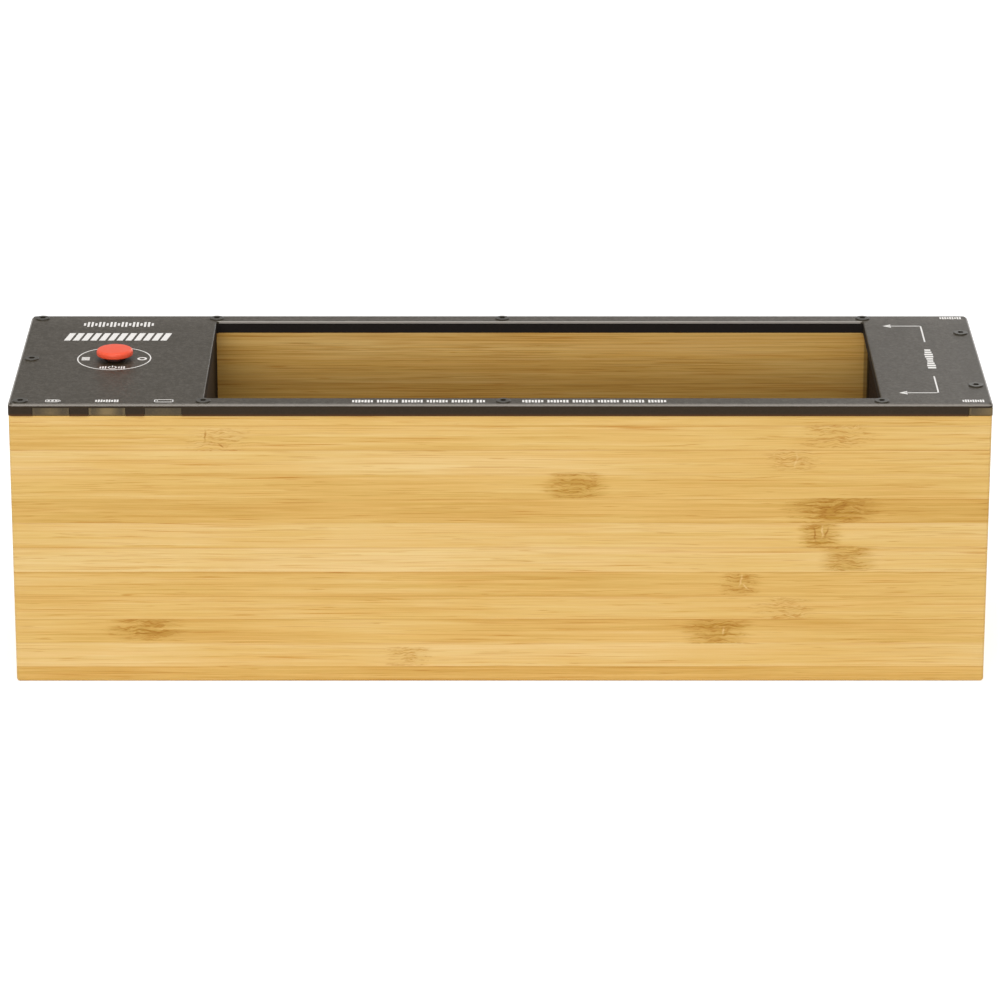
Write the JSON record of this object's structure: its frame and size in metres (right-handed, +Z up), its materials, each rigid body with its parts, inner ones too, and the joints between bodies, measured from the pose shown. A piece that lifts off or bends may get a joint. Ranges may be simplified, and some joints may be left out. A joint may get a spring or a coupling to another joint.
{
  "type": "phone privacy box",
  "caption": "Open-top wooden box with a slotted black top plate, a push button and edge light windows, in which a phone stands while sound emitters mask its microphones.",
  "frame": {"origin": "middle of the flat underside", "axes": "+X along the length to the right, from the button to the emitters; +Y to the rear; +Z up, out of the slot"},
  "size_m": [0.2501, 0.076, 0.0783],
  "materials": {
    "bamboo": "clear matt lacquer over side-pressed bamboo",
    "plate": "satin black, fine texture",
    "light_window": "smoked translucent acrylic",
    "red_cap": "satin moulded red",
    "black_plastic": "fine matt",
    "screw_black": "black oxide",
    "cloth": "dark woven acoustic cloth",
    "mat": "fine ribbed foam rubber",
    "board": "green circuit board",
    "steel": "bright zinc plated",
    "brass": "turned",
    "chip": "moulded package",
    "aluminium": "drawn can",
    "connector": "natural nylon",
    "light": "clear epoxy over a light chip",
    "battery": "shrink sleeve",
    "strap": "moulded strap",
    "baffle": "black stained fibreboard",
    "cone": "pressed paper cone",
    "magnet": "sintered ferrite",
    "gasket": "closed cell foam",
    "lead": "soft jacket"
  },
  "bodies": {
    "case": {"front_panel": "bamboo", "rear_panel": "bamboo", "left_end_panel": "bamboo", "right_end_panel": "bamboo", "base_panel": "bamboo", "left_partition": "baffle", "floor_board": "baffle", "front_batten": "bamboo", "rear_batten": "bamboo", "phone_mat": "mat", "emitter_baffle": "baffle", "emitter_cloth": "cloth", "top_plate": "plate", "plate_screws": "screw_black", "battery_window": "light_window", "active_window": "light_window", "in_use_window": "light_window", "front_corner_window": "light_window", "rear_corner_window": "light_window", "button_spring": "steel", "switch_housing": "black_plastic", "switch_lid": "steel", "main_board": "board", "standoffs": "brass", "board_screws": "steel", "controller_chip": "chip", "amplifier_chip": "chip", "capacitor": "aluminium", "board_connectors": "connector", "battery_light": "light", "active_light": "light", "in_use_light": "light", "front_corner_light": "light", "rear_corner_light": "light", "front_light_board": "board", "rear_light_board": "board", "battery_pack": "battery", "battery_strap": "strap", "strap_screws": "steel", "charge_bezel": "screw_black", "bezel_screws": "screw_black", "charge_socket": "steel", "charge_board": "board", "charge_board_screws": "steel", "front_emitter_frame": "steel", "front_emitter_cone": "cone", "front_emitter_magnet": "magnet", "rear_emitter_frame": "steel", "rear_emitter_cone": "cone", "rear_emitter_magnet": "magnet", "emitter_gasket": "gasket", "emitter_screws": "steel", "battery_lead": "lead", "charge_lead": "lead", "front_emitter_lead": "lead", "rear_emitter_lead": "lead"},
    "button": {"button_cap": "red_cap", "button_plunger": "black_plastic"}
  },
  "joints": [
    {"name": "button_press", "type": "slide", "parent": "case", "child": "button", "axis": [0, 0, -1], "range_m": [0, 0.0007], "stiffness_N_per_m": 600, "deforming": ["button_spring"]}
  ]
}
